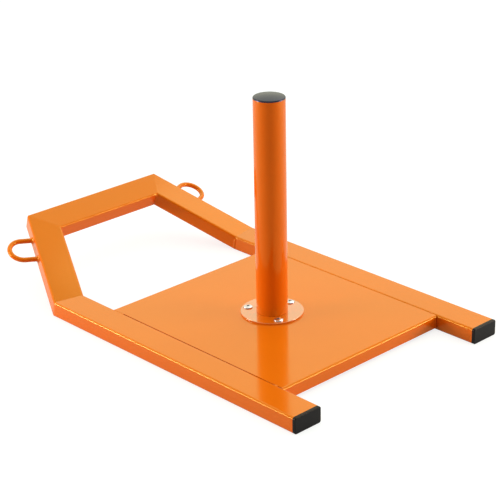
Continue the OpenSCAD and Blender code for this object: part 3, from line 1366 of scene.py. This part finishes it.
@dataclass
class EndCaps(SubAssembly):
    """The moulded plugs that close the runners' rear ends."""

    SLOT: ClassVar[str] = "black_plastic"
    tubes: TubeFrame = field(kw_only=True)
    thickness: float = 5 * MM
    rim: float = 1.2 * MM
    rim_steps: int = 5
    sleeve_inset: float = 3.2 * MM
    sleeve: Sleeve = Sleeve()

    def mould(self) -> Workpiece:
        """Moulds a plug: a rimmed block with a plain, hollow sleeve behind it.

        Returns:
            The plug, with its own Z leaving the tube.
        """
        tubes, sleeve = self.tubes, self.sleeve
        size = Vector((tubes.width, tubes.height, self.thickness))
        piece = Workpiece.block("runner_plug_left", size, UP * (self.thickness / 2))
        piece.round_off(
            tubes.corner, tubes.corner_steps,
            lambda edge: abs((edge.verts[0].co - edge.verts[1].co).z) > self.rim,
        )
        piece.round_off(
            self.rim, self.rim_steps,
            lambda edge: min(vert.co.z for vert in edge.verts) > self.thickness - MICRON,
        )
        gap = sleeve.pitch - sleeve.rib_thickness
        with piece.edit():
            piece.choose(Pick.FACES, lambda face: face.normal.z < -FACING)
            bpy.ops.mesh.inset(thickness=self.sleeve_inset, depth=0.0)
            for _ in range(sleeve.rib_count):
                piece.draw_out(UP * -gap)
                piece.draw_out(UP * -sleeve.rib_thickness)
            piece.draw_out(UP * -sleeve.pitch)
            bpy.ops.mesh.inset(thickness=sleeve.wall, depth=0.0)
            piece.draw_out(UP * sleeve.length)
        return piece

    def raise_ribs(self, piece: Workpiece) -> None:
        """Raises the sleeve's ribs, whose faces alone are as tall as a rib is thick.

        Args:
            piece: The plug with its plain sleeve.
        """

        def on_rib(face: Any) -> bool:
            """Says whether a face lies on a rib."""
            heights = [vert.co.z for vert in face.verts]
            return abs(max(heights) - min(heights) - self.sleeve.rib_thickness) < SLACK

        with piece.edit():
            piece.choose(Pick.FACES, on_rib)
            bpy.ops.mesh.extrude_region_shrink_fatten(
                TRANSFORM_OT_shrink_fatten={"value": self.sleeve.rib, "use_even_offset": True}
            )

    def build(self) -> None:
        """Moulds the left plug, pushes it in, and copies it to the right."""
        plug = self.mould()
        self.raise_ribs(plug)
        plug.face_outwards()
        tube = self.tubes.runner
        rear = tube.origin - tube.along * (self.tubes.bend_reach + self.tubes.rear_reach)
        plug.place(seat_at(rear, tube.across, -tube.upright, -tube.along))
        self.seat_pair(plug, "left_end_cap")


@dataclass
class WeightPost(SubAssembly):
    """The upright tube that takes the weight plates, on its bolted flange."""

    ring: ScrewRing = field(kw_only=True)
    deck_top: float = 24.5 * MM
    flange: float = 96 * MM
    flange_thickness: float = 3 * MM
    flange_edge: float = 0.5 * MM
    flange_under: float = -60.0
    bore: float = 35 * MM
    diameter: float = 48 * MM
    wall: float = 2.5 * MM
    length: float = 336 * MM
    eased: float = 0.5 * MM
    lacquer_ior: float = 3.0

    def build(self) -> None:
        """Turns the flange and drills it, and cuts the tube with eased ends."""
        rim, thick, edge = self.flange / 2, self.flange_thickness, self.flange_edge
        section = [
            *half_section((self.bore / 2, 0.0), (rim - edge, 0.0)),
            *arc(Vector((rim - edge, 0.0, edge)), edge, self.flange_under, 0, steps=2),
            *arc(Vector((rim - edge, 0.0, thick - edge)), edge, 0, 90, steps=4),
            Vector((self.bore / 2, 0.0, thick)),
        ]
        flange = Workpiece.turned("post_flange_plate", section, closed=True, steps=128)
        flange.place(self.ring.axis(self.deck_top))
        flange.drill(self.ring.hole / 2, thick, self.ring.seats(self.deck_top))
        self.seat(flange, "post_flange")
        outside, inside, eased = self.diameter / 2, self.diameter / 2 - self.wall, self.eased
        section = [
            *half_section((inside, 0.0), (outside - eased, 0.0), (outside, eased)),
            *arc(Vector((outside - eased, 0.0, self.length - eased)), eased, 0, 90, steps=4),
            *half_section((inside + eased, self.length), (inside, self.length - eased)),
        ]
        tube = Workpiece.turned("post_tube_steel", section, closed=True, steps=128)
        tube.place(self.ring.axis(self.deck_top + self.flange_thickness))
        self.seat(tube, "post_tube")

    def dress(self, coat: PowderCoat) -> None:
        """Sprays the tube, and the flange with a lacquer that mirrors the lamps more strongly.

        Args:
            coat: The powder coat.
        """
        super().dress(coat)
        lacquered = replace(coat, name=f"{coat.name}_lacquered", lacquer=1.0,
                            lacquer_ior=self.lacquer_ior)
        flange = self.pieces[0]
        flange.data.materials[0] = lacquered.material()


@dataclass
class PostCap(SubAssembly):
    """The crowned plug in the post's open top."""

    SLOT: ClassVar[str] = "black_plastic"
    ring: ScrewRing = field(kw_only=True)
    seat_z: float = 363.5 * MM
    diameter: float = 48 * MM
    height: float = 4.8 * MM
    shoulder: float = 2.2 * MM
    crown_slope: float = 12.0
    sleeve_radius: float = 20.3 * MM
    sleeve: Sleeve = Sleeve()
    gloss_ior: float = 1.92
    gloss_tint: str = "#bfc8ff"
    gloss_roughness: float = 0.26

    def ribs(self) -> list[Vector]:
        """Lists the outline of the sleeve's ribs, from the sleeve's foot upwards.

        Returns:
            The points of the half section.
        """
        sleeve, root = self.sleeve, self.sleeve_radius
        tip = root + sleeve.rib
        outline = []
        for index in range(sleeve.rib_count, 0, -1):
            low = -index * sleeve.pitch
            high = low + sleeve.rib_thickness
            outline += half_section((root, low), (tip, low), (tip, high), (root, high))
        return outline

    def build(self) -> None:
        """Turns the cap, from its crown down to the ribbed sleeve."""
        slope, rim = math.radians(self.crown_slope), self.diameter / 2
        ball = (rim - self.shoulder) / math.sin(slope) + self.shoulder
        middle = Vector((rim - self.shoulder, 0.0,
                         self.height - ball + (ball - self.shoulder) * math.cos(slope)))
        inside, foot = self.sleeve_radius - self.sleeve.wall, -self.sleeve.length
        section = [
            *half_section((0.0, 0.0), (inside, 0.0), (inside, foot), (self.sleeve_radius, foot)),
            *self.ribs(),
            *half_section((self.sleeve_radius, 0.0), (rim, 0.0)),
            *arc(middle, self.shoulder, 0, 90 - self.crown_slope, steps=8),
            *arc(UP * (self.height - ball), ball, 90 - self.crown_slope, 90, steps=8)[1:],
        ]
        cap = Workpiece.turned("post_plug", section, steps=96)
        cap.place(self.ring.axis(self.seat_z))
        self.seat(cap, "post_cap")

    def dress(self, plastic: MouldedPlug) -> None:
        """Gives the cap the closer, cooler gloss of a polished mould.

        Args:
            plastic: The plastic as an etched mould leaves it.
        """
        super().dress(replace(
            plastic, name=f"{plastic.name}_gloss", ior=self.gloss_ior,
            gloss_tint=self.gloss_tint, roughness=self.gloss_roughness,
        ))


@dataclass
class PostFasteners(SubAssembly):
    """The screws, washers and nuts that hold the post's flange to the deck."""

    SLOT: ClassVar[str] = "zinc_steel"
    ring: ScrewRing = field(kw_only=True)
    seat_z: float = 27.5 * MM
    under_z: float = 22 * MM
    thread: float = 6 * MM
    pitch: float = 1 * MM
    thread_flank: float = 0.4 * MM
    thread_land: float = 0.15 * MM
    thread_depth: float = 0.55 * MM
    tip_depth: float = 0.85 * MM
    shank_depth: float = 0.1 * MM
    length: float = 16 * MM
    head: float = 14 * MM
    head_height: float = 3 * MM
    head_land: float = 0.9 * MM
    head_shoulder: float = 0.9 * MM
    head_shoulder_end: float = 67.0
    head_seat_edge: float = 0.4 * MM
    recess_wing: float = 7.8 * MM
    recess_width: float = 1.9 * MM
    recess_depth: float = 2.2 * MM
    recess_taper: float = 0.8
    washer: float = 12.5 * MM
    washer_thickness: float = 1.6 * MM
    washer_bore: float = 6.4 * MM
    washer_edge: float = 0.25 * MM
    nut: float = 10 * MM
    nut_face: float = 9.6 * MM
    nut_height: float = 5 * MM
    nut_bore: float = 6.1 * MM
    nut_steps: int = 72
    recess_turns: tuple[float, float, float] = (18.0, 63.0, 40.0)

    def head_screw(self) -> Workpiece:
        """Turns a screw with a low domed head and a rolled thread, and sinks its recess.

        Returns:
            The screw, with its seat at the origin.
        """
        rim = self.head / 2
        shoulder = arc(Vector((rim - self.head_shoulder, 0.0, self.head_land)),
                       self.head_shoulder, 0, self.head_shoulder_end, steps=5)
        rise = self.head_height - shoulder[-1].z
        dome = (shoulder[-1].x ** 2 + rise ** 2) / (2 * rise)
        low = math.degrees(math.acos(shoulder[-1].x / dome))
        crest, flank, land = self.thread / 2, self.thread_flank, self.thread_land
        root, tip = crest - self.thread_depth, crest - self.tip_depth
        shank = crest - self.shank_depth
        turns = round((self.length - 2 * self.pitch) / self.pitch)
        section = half_section((0.0, -self.length), (tip, -self.length))
        for turn in range(turns):
            z = turn * self.pitch + flank - self.length
            section += half_section((root, z), (crest, z + flank), (crest, z + flank + land),
                                    (root, z + 2 * flank + land))
        section += half_section((shank, -self.pitch - flank), (shank, 0.0),
                                (rim - self.head_seat_edge, 0.0), (rim, self.head_seat_edge))
        section += shoulder
        section += arc(UP * (self.head_height - dome), dome, low, 90, steps=8)[1:]
        piece = Workpiece.turned("post_screw", section, steps=64)
        # The second blade goes deeper, so that the floors of the two don't lie in one plane
        for turn, deeper in ((0.0, 0.0), (math.pi / 2, SLACK)):
            piece.carve(self.recess_tool(turn, self.recess_depth + deeper))
        return piece

    def recess_tool(self, turn: float, depth: float) -> Workpiece:
        """Makes the tapering blade that sinks one pair of the recess's wings.

        Args:
            turn: The blade's angle round the screw.
            depth: How deep it goes below the head's top.

        Returns:
            The blade.
        """
        above = 0.9 * MM
        size = Vector((self.recess_wing, self.recess_width, depth + above))
        blade = Workpiece.block("blade", size, UP * (self.head_height + (above - depth) / 2))
        with blade.edit():
            blade.choose(Pick.FACES, lambda face: face.normal.z < -FACING)
            taper = self.recess_width / self.recess_wing
            bpy.ops.transform.resize(
                value=(taper, self.recess_taper, 1.0), center_override=ORIGIN
            )
        return blade.place(Matrix.Rotation(turn, 4, "Z"))

    def press_washer(self) -> Workpiece:
        """Presses a washer, with a rounded upper edge and a sharp lower one.

        Returns:
            The washer, with its top at the origin.
        """
        rim, bore, thick = self.washer / 2, self.washer_bore / 2, self.washer_thickness
        edge = self.washer_edge
        section = [
            *half_section((bore, -thick), (rim - edge, -thick), (rim, edge - thick)),
            *arc(Vector((rim - edge, 0.0, -edge)), edge, 0, 90, steps=3),
            *half_section((bore + edge, 0.0), (bore, -edge)),
        ]
        return Workpiece.turned("post_washer", section, closed=True, steps=64)

    def forge_nut(self) -> Workpiece:
        """Forges a hexagon nut with turned chamfers and a bore.

        Returns:
            The nut, with its top at the origin.
        """
        corner, tall, over = self.nut / math.sqrt(3), self.nut_height, 1 * MM
        face, wide = self.nut_face / 2, corner + over
        ease = (wide - face) / 2
        nut = Workpiece.bar("post_nut", corner, tall, UP * -tall, sides=6)
        section = half_section(
            (0.0, -tall - over), (face - 2 * over, -tall - over), (wide, ease - tall),
            (wide, -ease), (face - 2 * over, over), (0.0, over),
        )
        chamfer = Workpiece.turned("chamfer", section, steps=self.nut_steps)
        chamfer.place(Matrix.Rotation(math.pi / self.nut_steps, 4, "Z"))
        nut.modify("BOOLEAN", operation="INTERSECT", solver="EXACT", object=chamfer.obj)
        bpy.data.objects.remove(chamfer.obj)
        nut.drill(self.nut_bore / 2, tall, [Matrix.Translation(UP * (-tall / 2))])
        return nut

    def build(self) -> None:
        """Makes one screw, one washer and one nut, and copies each round the flange."""
        rows = (
            (self.head_screw(), "post_screws", self.seat_z),
            (self.press_washer(), "post_washers", self.under_z),
            (self.forge_nut(), "post_nuts", self.under_z - self.washer_thickness),
        )
        for model, node, height in rows:
            name = model.obj.name
            seats = self.ring.seats(height)
            for index, (seat, turn) in enumerate(zip(seats, self.recess_turns), start=1):
                turned = seat @ Matrix.Rotation(math.radians(turn), 4, "Z")
                self.seat(model.twin(f"{name}_{index}", turned), node)
            bpy.data.objects.remove(model.obj)

    def dress(self, plate: BrightZinc) -> None:
        """Plates the fasteners, and inside the screws' recesses paints shade on a rougher plate.

        Args:
            plate: The zinc plate.
        """
        super().dress(plate)
        # The faces in the recesses get the darker, rougher plate: the darkness is painted shade
        recess_shaded = plate.with_recess_shade()
        deepest = self.seat_z + self.head_height - self.recess_depth - SLACK
        for piece, seat in zip(self.pieces, self.ring.seats(self.seat_z)):
            axis = seat.translation
            piece.data.materials.append(recess_shaded.material())
            for face in piece.data.polygons:
                away = (face.center - axis).to_2d().length
                sunk = abs(face.normal.z) < STEEP or face.center.z < axis.z + self.head_height / 2
                if away < self.recess_wing / 2 and face.center.z > deepest and sunk:
                    face.material_index = 1


FINISHES: dict[str, Finish] = {
    "powder_coat": PowderCoat(), "black_plastic": MouldedPlug(), "zinc_steel": BrightZinc(),
}


def dress_frame_nodes() -> None:
    """Gives each CAD node that is carried over the finish of its own slot."""
    for subpart in frame["record"]["subparts"]:
        node = frame["nodes"][subpart["node"]]
        node.data.materials.clear()
        node.data.materials.append(FINISHES[subpart["material_slot"]].material())


def main() -> None:
    """Builds the sled and its studio in order, and reports each piece."""
    logging.basicConfig(level=logging.INFO, format="%(name)s: %(message)s")
    Studio().build()
    dress_frame_nodes()
    tubes = TubeFrame()
    ring = ScrewRing(tubes.post_x)
    assemblies = (
        tubes, Deck(ring=ring), TowEyes(tubes=tubes), WeightPost(ring=ring), EndCaps(tubes=tubes),
        PostCap(ring=ring), PostFasteners(ring=ring),
    )
    for assembly in assemblies:
        assembly.build()
        assembly.dress(FINISHES[assembly.SLOT])
        LOG.info("%s: %d pieces", type(assembly).__name__, len(assembly.pieces))


if __name__ == "__main__":
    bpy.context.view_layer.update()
    main()
    bpy.context.view_layer.update()
